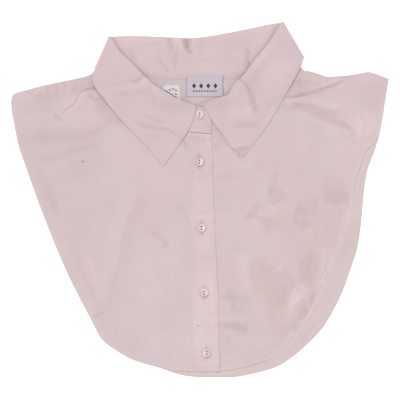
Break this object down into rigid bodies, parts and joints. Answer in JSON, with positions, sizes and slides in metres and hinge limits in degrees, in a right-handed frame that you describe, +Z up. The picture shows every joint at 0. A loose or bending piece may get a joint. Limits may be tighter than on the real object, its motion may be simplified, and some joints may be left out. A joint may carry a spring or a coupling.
{
  "type": "detachable shirt collar",
  "caption": "Detachable shirt collar: a pointed turn-down collar on a stand with a buttoned placket and short front and back panels, worn under a sweater to look like a shirt",
  "frame": {"origin": "Middle of the footprint, at the surface that the garment lies on.", "axes": "+Z is up, out of the front of the garment. +X runs across it to the wearer's left. +Y runs from the hem to the neck."},
  "size_m": [0.3926, 0.368, 0.0058],
  "materials": {
    "shirting": "matte pale pink cotton, plain weave",
    "neck_label": "smooth woven ribbon",
    "size_label": "smooth white ribbon",
    "button": "polished imitation pearl"
  },
  "bodies": {
    "root": {"back_panel": "shirting", "front_right": "shirting", "front_left": "shirting", "placket": "shirting", "collar_stand": "shirting", "collar_leaf": "shirting", "neck_label": "neck_label", "size_label": "size_label", "button_1": "button", "button_2": "button", "button_3": "button", "button_4": "button", "button_5": "button"}
  },
  "joints": []
}
